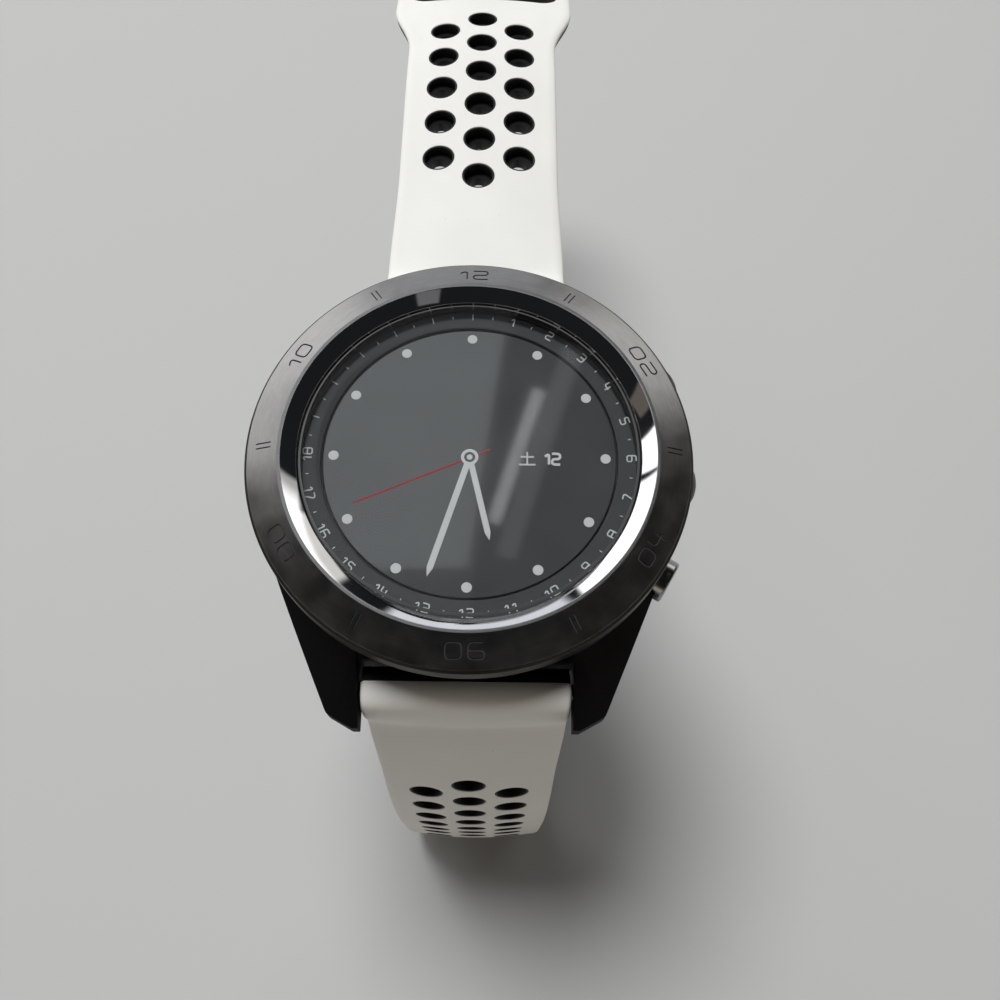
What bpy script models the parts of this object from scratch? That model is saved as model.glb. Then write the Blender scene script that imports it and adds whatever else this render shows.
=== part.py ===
"""Golf GPS watch: round head, twelve-hour bezel, three side buttons and a two-piece perforated strap.

The watch stands on its curled long strap. The origin is on the floor under the dial's centre.
+Y points to 12 o'clock, +X to 3 o'clock and +Z out of the dial. Lengths are in metres.
"""

import math

import bmesh
import bpy
from mathutils import Matrix, Vector

MM = 0.001
OBJECT_NAME = "golf_gps_watch"

# Driving dimensions of the head. Heights are counted from the dial.
DIAL_HEIGHT = 84.0 * MM
BEZEL_RADIUS = 23.5 * MM
BEZEL_TOP = 2.85 * MM
CASE_RADIUS = 23.2 * MM
CASE_TOP = -1.1 * MM
CASE_BOTTOM = -10.9 * MM
CASE_BORE = 19.2 * MM
BACK_FACE = -11.5 * MM
LENS_RADIUS = 17.85 * MM
DISPLAY_RADIUS = 15.5 * MM

# Lugs and strap pins.
LUG_TIP_Y = 27.1 * MM
LUG_TIP_X = 14.6 * MM
LUG_ROOT_TOP = -3.0 * MM
LUG_TIP_TOP = -9.0 * MM
STRAP_GAP = 22.3 * MM
PIN_Y = 23.1 * MM
PIN_Z = -8.5 * MM
PIN_RADIUS = 0.8 * MM
RECESS_Y = 20.35 * MM

# Buttons: clockwise angle from 12 o'clock, in degrees, and how far the cap reaches from the head's axis.
BUTTONS = {"top": (63.0, 25.3 * MM), "middle": (92.5, 24.7 * MM), "bottom": (120.0, 24.6 * MM)}
BUTTON_Z = -4.4 * MM
BUTTON_RADIUS = 2.3 * MM
BUTTON_FOOT = 22.2 * MM
STEM_RADIUS = 0.7 * MM
STEM_END = 23.35 * MM

# Strap.
STRAP_HALF_WIDTH = 10.45 * MM
STRAP_LUG_HALF_WIDTH = 10.9 * MM
STRAP_OUTER = 1.5 * MM
STRAP_INNER = -1.5 * MM
SKIN_BOTTOM = -0.1 * MM
LINER_TOP = -0.25 * MM
KNUCKLE_RADIUS = 2.5 * MM
KNUCKLE_BORE = 1.85 * MM
HOLE_RADIUS = 2.05 * MM
LINER_HOLE_RADIUS = 1.1 * MM
HOLE_PITCH = 6.5 * MM
HOLE_COLUMN = 5.2 * MM
UPPER_HEADING = math.radians(-4.1)
LOWER_HEADING = math.radians(17.0)
UPPER_LENGTH = 80.0 * MM
LOWER_LENGTH = 125.0 * MM
LOWER_STRAIGHT = 8.0 * MM
LOWER_SWEEP = 150.0 * MM
LOWER_CURL = 9.5 * MM
# The straight stretch that brings the curled end's outer face down to the floor.
LOWER_HANG = (
    DIAL_HEIGHT
    + PIN_Z
    - LOWER_STRAIGHT * math.cos(LOWER_HEADING)
    - LOWER_SWEEP * math.sin(LOWER_HEADING)
    - LOWER_CURL
    - STRAP_OUTER
)
SLOT_START = 60.5 * MM
SLOT_WIDTH = 6.0 * MM
SLOT_LENGTH = 22.6 * MM
BUCKLE_HALF_WIDTH = 13.2 * MM
STUD_AT = 73.0 * MM

# The turn that lays a cylinder's axis across the watch, along X.
ACROSS = Matrix.Rotation(math.radians(90), 4, "Y")

ROUND = 48
SMALL_ROUND = 20
TINY_ROUND = 12


# ---------------------------------------------------------------- scene and helpers


def clear_scene():
    for obj in list(bpy.data.objects):
        bpy.data.objects.remove(obj, do_unlink=True)


def new_collection(name):
    collection = bpy.data.collections.new(name)
    bpy.context.scene.collection.children.link(collection)
    return collection


def new_material(name, color, roughness, metallic=0.0, transmission=0.0):
    material = bpy.data.materials.new(name)
    material.use_nodes = True
    shader = material.node_tree.nodes["Principled BSDF"]
    shader.inputs["Base Color"].default_value = (*color, 1.0)
    shader.inputs["Roughness"].default_value = roughness
    shader.inputs["Metallic"].default_value = metallic
    shader.inputs["Transmission Weight"].default_value = transmission
    return material


def new_empty(name, parent=None, location=(0, 0, 0), rotation=(0, 0, 0)):
    empty = bpy.data.objects.new(name, None)
    empty.empty_display_size = 0.005
    empty.location = location
    empty.rotation_euler = rotation
    empty.parent = parent
    PARTS.objects.link(empty)
    return empty


def add_object(name, mesh, parent, material=None):
    """A part with a material, or a cutter without one."""
    obj = bpy.data.objects.new(name, mesh)
    obj.parent = parent
    if material is None:
        obj.hide_render = True
        obj.display_type = "WIRE"
        CUTTERS.objects.link(obj)
    else:
        mesh.materials.append(material)
        PARTS.objects.link(obj)
    return obj


def turned(name, profile, parent, material=None, steps=ROUND, closed=True):
    """A profile of (radius, height) points turned about Z. A closed one is a ring.

    An open one starts and ends on the axis and is listed from its top to its bottom. A closed one is
    listed so that its outer side runs from top to bottom.
    """
    mesh = bpy.data.meshes.new(name)
    count = len(profile)
    edges = [(i, i + 1) for i in range(count - 1)]
    if closed:
        edges.append((count - 1, 0))
    mesh.from_pydata([(r, 0.0, z) for r, z in profile], edges, [])
    obj = add_object(name, mesh, parent, material)
    screw = obj.modifiers.new("Turn", "SCREW")
    screw.axis = "Z"
    screw.steps = steps
    screw.render_steps = steps
    screw.use_merge_vertices = True
    screw.merge_threshold = 0.00001
    screw.use_smooth_shade = True
    return obj


def ring(name, inner, outer, low, high, parent, material=None, steps=ROUND):
    profile = [(outer, high), (outer, low), (inner, low), (inner, high)]
    return turned(name, profile, parent, material, steps)


def disc(name, radius, low, high, parent, material=None, steps=ROUND):
    profile = [(0.0, high), (radius, high), (radius, low), (0.0, low)]
    return turned(name, profile, parent, material, steps, closed=False)


def prism(name, outline, low, high, parent, material=None):
    """A flat outline in X and Y, filled and extruded from one height to another."""
    curve = bpy.data.curves.new(name, "CURVE")
    curve.dimensions = "2D"
    curve.fill_mode = "BOTH"
    curve.extrude = (high - low) / 2
    spline = curve.splines.new("POLY")
    spline.points.add(len(outline) - 1)
    for point, (x, y) in zip(spline.points, outline):
        point.co = (x, y, 0.0, 1.0)
    spline.use_cyclic_u = True
    source = bpy.data.objects.new(name + "_curve", curve)
    bpy.context.scene.collection.objects.link(source)
    depsgraph = bpy.context.evaluated_depsgraph_get()
    mesh = bpy.data.meshes.new_from_object(source.evaluated_get(depsgraph))
    bpy.data.objects.remove(source, do_unlink=True)
    shape = bmesh.new()
    shape.from_mesh(mesh)
    bmesh.ops.remove_doubles(shape, verts=shape.verts, dist=0.00001)
    bmesh.ops.translate(shape, verts=shape.verts, vec=(0, 0, (high + low) / 2))
    bmesh.ops.recalc_face_normals(shape, faces=shape.faces)
    shape.to_mesh(mesh)
    shape.free()
    mesh.name = name
    return add_object(name, mesh, parent, material)


def block(name, size, centre, parent, material=None, rounding=0.0):
    """A box with its mesh around its own centre and, if asked, rounded edges."""
    mesh = bpy.data.meshes.new(name)
    shape = bmesh.new()
    bmesh.ops.create_cube(shape, size=1.0)
    bmesh.ops.scale(shape, verts=shape.verts, vec=size)
    shape.to_mesh(mesh)
    shape.free()
    obj = add_object(name, mesh, parent, material)
    obj.location = centre
    if rounding:
        bevel = obj.modifiers.new("Round", "BEVEL")
        bevel.width = rounding
        bevel.segments = 2
    return obj


def rods(name, radius, depth, places, parent, steps=SMALL_ROUND, material=None):
    """Cylinders in one object. Each place is a matrix whose Z is the cylinder's axis."""
    mesh = bpy.data.meshes.new(name)
    shape = bmesh.new()
    for place in places:
        bmesh.ops.create_cone(
            shape,
            cap_ends=True,
            segments=steps,
            radius1=radius,
            radius2=radius,
            depth=depth,
            matrix=place,
        )
    shape.to_mesh(mesh)
    shape.free()
    return add_object(name, mesh, parent, material)


def boolean(obj, other, operation="DIFFERENCE"):
    modifier = obj.modifiers.new(operation.title(), "BOOLEAN")
    modifier.operation = operation
    modifier.object = other
    modifier.solver = "EXACT"


def arc(radius, start, end, steps, centre=(0.0, 0.0)):
    """Points on a circle between two angles in degrees, counted from +X towards +Y."""
    points = []
    for i in range(steps + 1):
        angle = math.radians(start + (end - start) * i / steps)
        points.append((centre[0] + radius * math.cos(angle), centre[1] + radius * math.sin(angle)))
    return points


# ---------------------------------------------------------------- case


def case_outline():
    """Round case with a tapered lug at each corner. The lug's flank is tangent to the round."""
    tip = Vector((LUG_TIP_X, LUG_TIP_Y - 1.5 * MM))
    tangent = math.degrees(tip.angle(Vector((1, 0))) - math.acos(CASE_RADIUS / tip.length))
    quarter = arc(CASE_RADIUS, 0.0, tangent, 6)
    quarter += [tuple(tip), (LUG_TIP_X - 2.7 * MM, LUG_TIP_Y), (STRAP_GAP / 2 - 1.0 * MM, LUG_TIP_Y)]
    outline = quarter + [(-x, y) for x, y in reversed(quarter)]
    outline += [(-x, -y) for x, y in quarter[1:]]
    outline += [(x, -y) for x, y in list(reversed(quarter))[:-1]]
    return without_repeats(outline)


def without_repeats(points):
    kept = []
    for point in points:
        if not kept or math.dist(point, kept[-1]) > 0.01 * MM:
            kept.append(point)
    if math.dist(kept[0], kept[-1]) < 0.01 * MM:
        kept.pop()
    return kept


def button_matrix(angle, distance):
    """A place on a button's axis, with Z pointing out of the case."""
    turn = math.radians(angle)
    outward = Vector((math.sin(turn), math.cos(turn), 0.0))
    matrix = outward.to_track_quat("Z", "Y").to_matrix().to_4x4()
    matrix.translation = outward * distance + Vector((0, 0, BUTTON_Z))
    return matrix


def make_case(head):
    case = prism("case_body", case_outline(), CASE_BOTTOM, CASE_TOP, head, POLYMER)
    for side in (-1, 1):
        recess = block(
            f"strap_recess_{side}",
            (STRAP_GAP, 12 * MM, 30 * MM),
            (0, side * (RECESS_Y + 6 * MM), 0),
            head,
        )
        boolean(case, recess)
    slope = turned(
        "lug_slope",
        [
            (40.0 * MM, 5.0 * MM),
            (40.0 * MM, LUG_TIP_TOP - 1.0 * MM),
            (30.0 * MM, LUG_TIP_TOP),
            (CASE_RADIUS + 0.1 * MM, LUG_ROOT_TOP),
            (CASE_RADIUS + 0.1 * MM, 5.0 * MM),
        ],
        head,
        steps=96,
    )
    boolean(case, slope)
    return case


def make_case_cavities(case, head):
    """The bore with its flange for the back cover, the button bores, the pin seats and screw holes."""
    cavity = turned(
        "case_cavity",
        [
            (0.0, 5 * MM),
            (CASE_BORE, 5 * MM),
            (CASE_BORE, -9.1 * MM),
            (16.0 * MM, -9.1 * MM),
            (16.0 * MM, -10.0 * MM),
            (CASE_BORE, -10.0 * MM),
            (CASE_BORE, -15 * MM),
            (0.0, -15 * MM),
        ],
        head,
        closed=False,
    )
    boolean(case, cavity)
    cuts = (
        ("button_wells", BUTTON_RADIUS + 0.3 * MM, 6.0 * MM, 24.6 * MM),
        ("stem_bores", STEM_RADIUS + 0.15 * MM, 6.0 * MM, 20.6 * MM),
        ("seal_seats", 1.5 * MM, 4.0 * MM, 18.6 * MM),
    )
    for name, radius, depth, centre in cuts:
        places = [button_matrix(angle, centre) for angle, cap_reach in BUTTONS.values()]
        boolean(case, rods(name, radius, depth, places, head))
    seats = [Matrix.Translation((0, side * PIN_Y, PIN_Z)) @ ACROSS for side in (-1, 1)]
    boolean(case, rods("pin_seats", PIN_RADIUS + 0.15 * MM, 25.6 * MM, seats, head))
    holes = [Matrix.Translation((*place, -9.9 * MM)) for place in screw_places()]
    boolean(case, rods("screw_holes", 0.62 * MM, 1.3 * MM, holes, head, TINY_ROUND))


def screw_places():
    return arc(18.0 * MM, 45, 315, 3)


# ---------------------------------------------------------------- front


def make_front(head):
    turned(
        "bezel_ring",
        [
            (19.75 * MM, BEZEL_TOP),
            (23.25 * MM, 1.42 * MM),
            (BEZEL_RADIUS, 1.1 * MM),
            (BEZEL_RADIUS, -0.9 * MM),
            (19.6 * MM, -0.9 * MM),
            (19.6 * MM, 0.9 * MM),
            (18.05 * MM, 0.9 * MM),
            (18.05 * MM, 1.75 * MM),
            (19.5 * MM, BEZEL_TOP),
        ],
        head,
        GUNMETAL,
        steps=64,
    )
    turned(
        "lens",
        [
            (0.0, 1.8 * MM),
            (17.6 * MM, 1.8 * MM),
            (LENS_RADIUS, 1.55 * MM),
            (LENS_RADIUS, 0.4 * MM),
            (0.0, 0.4 * MM),
        ],
        head,
        GLASS,
        steps=64,
        closed=False,
    )
    ring("lens_gasket", 18.05 * MM, 19.4 * MM, -0.05 * MM, 0.75 * MM, head, SEAL_RUBBER)
    turned(
        "dial_ring",
        [
            (17.8 * MM, 0.25 * MM),
            (17.8 * MM, -0.5 * MM),
            (15.75 * MM, -0.5 * MM),
            (15.75 * MM, 0.1 * MM),
        ],
        head,
        BLACK_PLASTIC,
    )
    disc("display_panel", DISPLAY_RADIUS, -1.0 * MM, 0.0, head, DISPLAY_GLASS)
    turned(
        "display_frame",
        [
            (0.0, -1.15 * MM),
            (15.65 * MM, -1.15 * MM),
            (15.65 * MM, -0.65 * MM),
            (16.8 * MM, -0.65 * MM),
            (16.8 * MM, -2.0 * MM),
            (0.0, -2.0 * MM),
        ],
        head,
        BLACK_PLASTIC,
        closed=False,
    )
    ring("antenna_ring", 17.05 * MM, 19.0 * MM, -2.0 * MM, -0.7 * MM, head, BRASS)


# ---------------------------------------------------------------- inside and back


def make_inside(head):
    disc("main_board", 17.8 * MM, -3.2 * MM, -2.3 * MM, head, BOARD)
    block("processor_shield", (11 * MM, 11 * MM, 1.2 * MM), (-6 * MM, 2 * MM, -4.1 * MM), head, STEEL, 0.3 * MM)
    block("gnss_module", (7 * MM, 7 * MM, 1.0 * MM), (5.5 * MM, 2 * MM, -4.0 * MM), head, STEEL, 0.2 * MM)
    block("battery_cell", (23.5 * MM, 21.5 * MM, 3.6 * MM), (-0.6 * MM, -2.6 * MM, -6.9 * MM), head, FOIL, 0.8 * MM)
    motor = disc("vibration_motor", 4.0 * MM, -8.6 * MM, -5.8 * MM, head, STEEL, 24)
    motor.location = (-5 * MM, 12.7 * MM, 0)
    disc("sensor_board", 7.2 * MM, -10.2 * MM, -9.6 * MM, head, BOARD, 32)
    turned(
        "sensor_window",
        [
            (0.0, -10.7 * MM),
            (6.0 * MM, -10.7 * MM),
            (6.0 * MM, -11.8 * MM),
            (5.6 * MM, -12.0 * MM),
            (0.0, -12.1 * MM),
        ],
        head,
        GLASS,
        48,
        closed=False,
    )


def make_back(head):
    cover = turned(
        "back_cover",
        [
            (19.0 * MM, -10.5 * MM),
            (19.0 * MM, -11.0 * MM),
            (18.6 * MM, BACK_FACE),
            (6.3 * MM, BACK_FACE),
            (6.3 * MM, -10.5 * MM),
        ],
        head,
        POLYMER,
    )
    port_place = (0, 11.5 * MM, -11.0 * MM)
    boolean(cover, block("port_opening", (9.4 * MM, 3.8 * MM, 4 * MM), port_place, head))
    shanks = [Matrix.Translation((*place, -11 * MM)) for place in screw_places()]
    heads = [Matrix.Translation((*place, -11.8 * MM)) for place in screw_places()]
    boolean(cover, rods("shank_holes", 0.65 * MM, 3 * MM, shanks, head, TINY_ROUND))
    boolean(cover, rods("head_seats", 1.05 * MM, 1.8 * MM, heads, head, TINY_ROUND))
    ring("back_gasket", 16.2 * MM, 16.9 * MM, -10.4 * MM, -10.1 * MM, head, SEAL_RUBBER)
    for number, (x, y) in enumerate(screw_places(), 1):
        screw = turned(
            f"back_screw_{number}",
            [
                (0.0, -9.35 * MM),
                (0.5 * MM, -9.35 * MM),
                (0.5 * MM, -11.0 * MM),
                (0.9 * MM, -11.0 * MM),
                (0.9 * MM, -11.4 * MM),
                (0.0, -11.4 * MM),
            ],
            head,
            STEEL,
            TINY_ROUND,
            closed=False,
        )
        screw.location = (x, y, 0)
    port = block("charge_port", (9.0 * MM, 3.4 * MM, 1.2 * MM), (0, 11.5 * MM, -10.85 * MM), head, BLACK_PLASTIC)
    contact_x = [(-3 + 2 * i) * MM for i in range(4)]
    seats = [Matrix.Translation((x, 0, 0)) for x in contact_x]
    boolean(port, rods("contact_seats", 0.6 * MM, 4 * MM, seats, port, TINY_ROUND))
    for number, x in enumerate(contact_x, 1):
        contact = disc(f"charge_contact_{number}", 0.45 * MM, -11.35 * MM, -10.0 * MM, head, BRASS, TINY_ROUND)
        contact.location = (x, 11.5 * MM, 0)


# ---------------------------------------------------------------- buttons


def make_button(name, angle, cap_reach, head):
    """Cap, stem, seal and clip slide along the button's axis. The switch stays on the case."""
    direction = button_matrix(angle, 0.0)
    axis = new_empty(f"button_{name}_axis", head, direction.translation, direction.to_euler())
    turned(
        f"button_{name}_cap",
        [
            (0.0, cap_reach),
            (BUTTON_RADIUS - 0.4 * MM, cap_reach),
            (BUTTON_RADIUS, cap_reach - 0.4 * MM),
            (BUTTON_RADIUS, BUTTON_FOOT),
            (STEM_RADIUS + 0.15 * MM, BUTTON_FOOT),
            (STEM_RADIUS + 0.15 * MM, STEM_END + 0.15 * MM),
            (0.0, STEM_END + 0.15 * MM),
        ],
        axis,
        STEEL if name == "bottom" else BLACK_PLASTIC,
        24,
        closed=False,
    )
    disc(f"button_{name}_stem", STEM_RADIUS, 17.9 * MM, STEM_END, axis, STEEL, TINY_ROUND)
    turned(
        f"button_{name}_seal",
        [(1.1 * MM + x, 20.1 * MM + z) for x, z in reversed(arc(0.28 * MM, 0, 315, 7))],
        axis,
        SEAL_RUBBER,
        TINY_ROUND,
    )
    ring(f"button_{name}_clip", 0.82 * MM, 1.9 * MM, 18.5 * MM, 18.9 * MM, axis, STEEL, TINY_ROUND)
    block(f"switch_{name}", (3.4 * MM, 1.9 * MM, 1.9 * MM), (0, 0, 16.3 * MM), axis, BLACK_PLASTIC, 0.2 * MM)


# ---------------------------------------------------------------- straps


def path_point(runs, distance):
    """Where the strap's middle line is at a distance from the pin, and its heading there.

    Each run is (length, radius): radius 0 is straight, and any other bends towards the wrist.
    """
    y, z, heading = 0.0, 0.0, 0.0
    for length, radius in runs:
        part = min(length, distance)
        if radius:
            turn = part / radius
            y += radius * (math.sin(heading + turn) - math.sin(heading))
            z += radius * (math.cos(heading + turn) - math.cos(heading))
            heading += turn
        else:
            y += part * math.cos(heading)
            z -= part * math.sin(heading)
        distance -= part
        if distance <= 0:
            break
    return y, z, heading


def path_matrix(runs, distance):
    """The strap's own frame there: X across, Y along and Z out of its outer face."""
    y, z, heading = path_point(runs, distance)
    return Matrix.Translation((0, y, z)) @ Matrix.Rotation(-heading, 4, "X")


def smooth(value):
    value = min(1.0, max(0.0, value))
    return value * value * (3 - 2 * value)


def half_width(strap, distance):
    """Half the strap's width: it narrows after the lug, may flare at the buckle, and has a round tip."""
    width = STRAP_LUG_HALF_WIDTH
    width += (STRAP_HALF_WIDTH - STRAP_LUG_HALF_WIDTH) * smooth((distance - 6 * MM) / (16 * MM))
    if strap["flare"]:
        width += (BUCKLE_HALF_WIDTH - STRAP_HALF_WIDTH) * smooth((distance - 47 * MM) / (12 * MM))
    left = strap["length"] - distance
    corner = strap["corner"]
    if left < corner:
        width += math.sqrt(max(0.0, corner**2 - (corner - left) ** 2)) - corner
    return width


def skin_section(width):
    """The outer face is crowned, with edges that fall away."""
    top = STRAP_OUTER
    side = [
        (width - 2.6 * MM, top),
        (width - 0.75 * MM, top - 0.45 * MM),
        (width, top - 1.15 * MM),
        (width, SKIN_BOTTOM),
    ]
    return side + [(-x, z) for x, z in reversed(side)]


def liner_section(width):
    low = STRAP_INNER
    side = [
        (width - 0.15 * MM, LINER_TOP),
        (width - 0.5 * MM, low + 0.35 * MM),
        (width - 1.4 * MM, low),
    ]
    return side + [(-x, z) for x, z in reversed(side)]


def strap_stations(strap, start):
    """Distances where the loft has a section: close together in bends and at the round tip."""
    stations = [start]
    at = 0.0
    for length, radius in strap["runs"]:
        pieces = max(1, math.ceil(length / radius / math.radians(strap["bend_step"]))) if radius else 1
        stations += [at + length * (i + 1) / pieces for i in range(pieces)]
        at += length
    stations += [6 * MM, 11 * MM, 16 * MM, 22 * MM]
    if strap["flare"]:
        stations += [(47 + 2.4 * i) * MM for i in range(6)]
    corner = strap["corner"]
    stations += [strap["length"] - corner * (1 - math.sin(math.radians(90 - a))) for a in (8, 25, 42, 60, 75)]
    stations += [strap["length"] - corner]
    stations = sorted(s for s in stations if start <= s < strap["length"] - 0.05 * MM)
    kept = [stations[0]]
    for station in stations[1:]:
        if station - kept[-1] > 0.4 * MM:
            kept.append(station)
    return kept


def loft(name, strap, section, start, parent, material):
    """Sections along the strap joined into one closed skin."""
    shape = bmesh.new()
    rings = []
    for station in strap_stations(strap, start):
        matrix = path_matrix(strap["runs"], station)
        outline = section(max(half_width(strap, station), 3.4 * MM))
        rings.append([shape.verts.new(matrix @ Vector((x, 0, z))) for x, z in outline])
    count = len(rings[0])
    for near, far in zip(rings, rings[1:]):
        for i in range(count):
            j = (i + 1) % count
            shape.faces.new((near[i], near[j], far[j], far[i]))
    shape.faces.new(rings[0])
    shape.faces.new(list(reversed(rings[-1])))
    bmesh.ops.recalc_face_normals(shape, faces=shape.faces)
    mesh = bpy.data.meshes.new(name)
    shape.to_mesh(mesh)
    shape.free()
    return add_object(name, mesh, parent, material)


def hole_places(strap):
    """Three staggered columns of adjusting holes."""
    places = []
    for row in range(strap["rows"]):
        centre = strap["first_hole"] + row * HOLE_PITCH
        places.append(path_matrix(strap["runs"], centre))
        if row < strap["rows"] - 1:
            beside = path_matrix(strap["runs"], centre + HOLE_PITCH / 2)
            places += [beside @ Matrix.Translation((side * HOLE_COLUMN, 0, 0)) for side in (-1, 1)]
    return places


def make_strap(name, strap, hinge):
    """White outer skin and the dark liner bonded under it. The skin's knuckle wraps round the pin."""
    skin = loft(f"{name}_strap_skin", strap, skin_section, 0.4 * MM, hinge, WHITE_SILICONE)
    liner = loft(f"{name}_strap_liner", strap, liner_section, 11.0 * MM, hinge, BLACK_SILICONE)
    knuckle = rods(f"{name}_knuckle", KNUCKLE_RADIUS, 2 * STRAP_LUG_HALF_WIDTH, [ACROSS], hinge, 24)
    boolean(skin, knuckle, "UNION")
    bore = rods(f"{name}_knuckle_bore", KNUCKLE_BORE, 40 * MM, [ACROSS], hinge, 24)
    boolean(skin, bore)
    size = (40 * MM, 13 * MM, 8 * MM)
    mouth = block(f"{name}_knuckle_mouth", size, (0, 4.75 * MM, SKIN_BOTTOM - 4 * MM), hinge)
    boolean(skin, mouth)
    end = block(f"{name}_knuckle_end", size, (0, -5 * MM, -3.7 * MM), hinge)
    boolean(skin, end)
    holes = hole_places(strap)
    boolean(skin, rods(f"{name}_skin_holes", HOLE_RADIUS, 8 * MM, holes, hinge, 10))
    boolean(liner, rods(f"{name}_liner_holes", LINER_HOLE_RADIUS, 8 * MM, holes, hinge, 8))
    return skin, liner


def make_hook(name, hinge):
    """A hard insert: a tube open on the wrist side that clips on the pin, and a tongue with the latch."""
    width = 19.6 * MM
    hook = rods(f"{name}_hook", 1.65 * MM, width, [ACROSS], hinge, 24, BLACK_PLASTIC)
    tongue = block(f"{name}_tongue", (width, 9.4 * MM, 0.75 * MM), (0, 5.9 * MM, -0.8 * MM), hinge)
    boolean(hook, tongue, "UNION")
    boolean(hook, rods(f"{name}_hook_bore", PIN_RADIUS + 0.15 * MM, 40 * MM, [ACROSS], hinge, 20))
    mouth = block(f"{name}_hook_mouth", (40 * MM, 1.7 * MM, 4 * MM), (0, -0.15 * MM, -2 * MM), hinge)
    boolean(hook, mouth)
    block(f"{name}_latch", (9.0 * MM, 3.4 * MM, 0.7 * MM), (0, 4.4 * MM, -1.75 * MM), hinge, STEEL, 0.15 * MM)
    block(f"{name}_latch_spring", (5.0 * MM, 1.2 * MM, 0.5 * MM), (0, 9.0 * MM, -1.7 * MM), hinge, STEEL)


def make_closure(skin, liner, hinge, strap):
    """The slot that the long strap tucks through, and the stud that goes in one of its holes."""
    end = SLOT_WIDTH / 2
    across = SLOT_LENGTH / 2 - end
    outline = [(x + across, y) for x, y in arc(end, -90, 90, 8)]
    outline += [(x - across, y) for x, y in arc(end, 90, 270, 8)]
    place = path_matrix(strap["runs"], SLOT_START + end)
    for obj, label in ((skin, "skin"), (liner, "liner")):
        slot = prism(f"slot_{label}", outline, -5 * MM, 5 * MM, hinge)
        slot.matrix_local = place
        boolean(obj, slot)
    at_stud = path_matrix(strap["runs"], STUD_AT)
    boolean(skin, rods("stud_hole_skin", 1.45 * MM, 8 * MM, [at_stud], hinge, 16))
    boolean(liner, rods("stud_hole_liner", 1.45 * MM, 8 * MM, [at_stud], hinge, 16))
    stud = turned(
        "closure_stud",
        [
            (0.0, 4.3 * MM),
            (1.4 * MM, 4.2 * MM),
            (1.9 * MM, 3.8 * MM),
            (1.9 * MM, 3.4 * MM),
            (1.25 * MM, 3.1 * MM),
            (1.25 * MM, -1.65 * MM),
            (3.2 * MM, -1.65 * MM),
            (3.0 * MM, -2.2 * MM),
            (0.0, -2.3 * MM),
        ],
        hinge,
        STEEL,
        16,
        closed=False,
    )
    stud.matrix_local = at_stud


def make_pins(head):
    for name, side in (("upper", 1), ("lower", -1)):
        pin = rods(f"lug_pin_{name}", PIN_RADIUS, 25.2 * MM, [ACROSS], head, 20, STEEL)
        pin.location = (0, side * PIN_Y, PIN_Z)


# ---------------------------------------------------------------- the watch

clear_scene()
PARTS = new_collection(OBJECT_NAME)
CUTTERS = new_collection("cutters")

POLYMER = new_material("black polymer", (0.012, 0.012, 0.013), 0.55)
GUNMETAL = new_material("brushed gunmetal", (0.16, 0.16, 0.165), 0.38, 1.0)
GLASS = new_material("lens glass", (0.9, 0.9, 0.92), 0.03, 0.0, 1.0)
DISPLAY_GLASS = new_material("display", (0.06, 0.06, 0.07), 0.25)
BLACK_PLASTIC = new_material("black plastic", (0.02, 0.02, 0.02), 0.45)
SEAL_RUBBER = new_material("seal rubber", (0.03, 0.03, 0.03), 0.8)
STEEL = new_material("steel", (0.55, 0.55, 0.56), 0.3, 1.0)
BRASS = new_material("gold plate", (0.8, 0.58, 0.25), 0.3, 1.0)
BOARD = new_material("circuit board", (0.02, 0.09, 0.05), 0.5)
FOIL = new_material("battery foil", (0.5, 0.5, 0.52), 0.45, 0.6)
WHITE_SILICONE = new_material("white silicone", (0.78, 0.77, 0.74), 0.6)
BLACK_SILICONE = new_material("black silicone", (0.02, 0.02, 0.02), 0.65)

UPPER_STRAP = {
    "runs": [(35 * MM, 0.0), (21.8 * MM, 78.0 * MM), (60 * MM, 0.0)],
    "length": UPPER_LENGTH,
    "corner": 8.5 * MM,
    "flare": True,
    "bend_step": 5.5,
    "rows": 6,
    "first_hole": 21.2 * MM,
}
LOWER_STRAP = {
    "runs": [
        (LOWER_STRAIGHT, 0.0),
        (LOWER_SWEEP * LOWER_HEADING, LOWER_SWEEP),
        (LOWER_HANG, 0.0),
        (LOWER_CURL * math.pi / 2, LOWER_CURL),
        (80 * MM, 0.0),
    ],
    "length": LOWER_LENGTH,
    "corner": 9.0 * MM,
    "flare": False,
    "bend_step": 9.0,
    "rows": 15,
    "first_hole": 22.4 * MM,
}

HEAD = new_empty("watch_head", location=(0, 0, DIAL_HEIGHT))
CASE = make_case(HEAD)
make_case_cavities(CASE, HEAD)
make_front(HEAD)
make_inside(HEAD)
make_back(HEAD)
for button_name, (button_angle, button_reach) in BUTTONS.items():
    make_button(button_name, button_angle, button_reach, HEAD)
make_pins(HEAD)

UPPER_HINGE = new_empty("upper_strap_hinge", HEAD, (0, PIN_Y, PIN_Z), (UPPER_HEADING, 0, 0))
LOWER_HINGE = new_empty(
    "lower_strap_hinge",
    HEAD,
    (0, -PIN_Y, PIN_Z),
    (LOWER_HEADING - math.radians(90), 0, math.radians(180)),
)
UPPER_SKIN, UPPER_LINER = make_strap("upper", UPPER_STRAP, UPPER_HINGE)
make_strap("lower", LOWER_STRAP, LOWER_HINGE)
make_hook("upper", UPPER_HINGE)
make_hook("lower", LOWER_HINGE)
make_closure(UPPER_SKIN, UPPER_LINER, UPPER_HINGE, UPPER_STRAP)
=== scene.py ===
# The looks of a golf GPS watch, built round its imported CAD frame.
#
# Pieces are modelled in millimetres and placed by a matrix that scales them to metres. The head's own
# frame has its origin at the dial's centre, +Y to 12 o'clock, +X to 3 o'clock and +Z out of the dial.
# Each strap half is modelled flat, as (across, along, out of its outer face), and then bent along the
# path that its CAD solid follows.

import math

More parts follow.
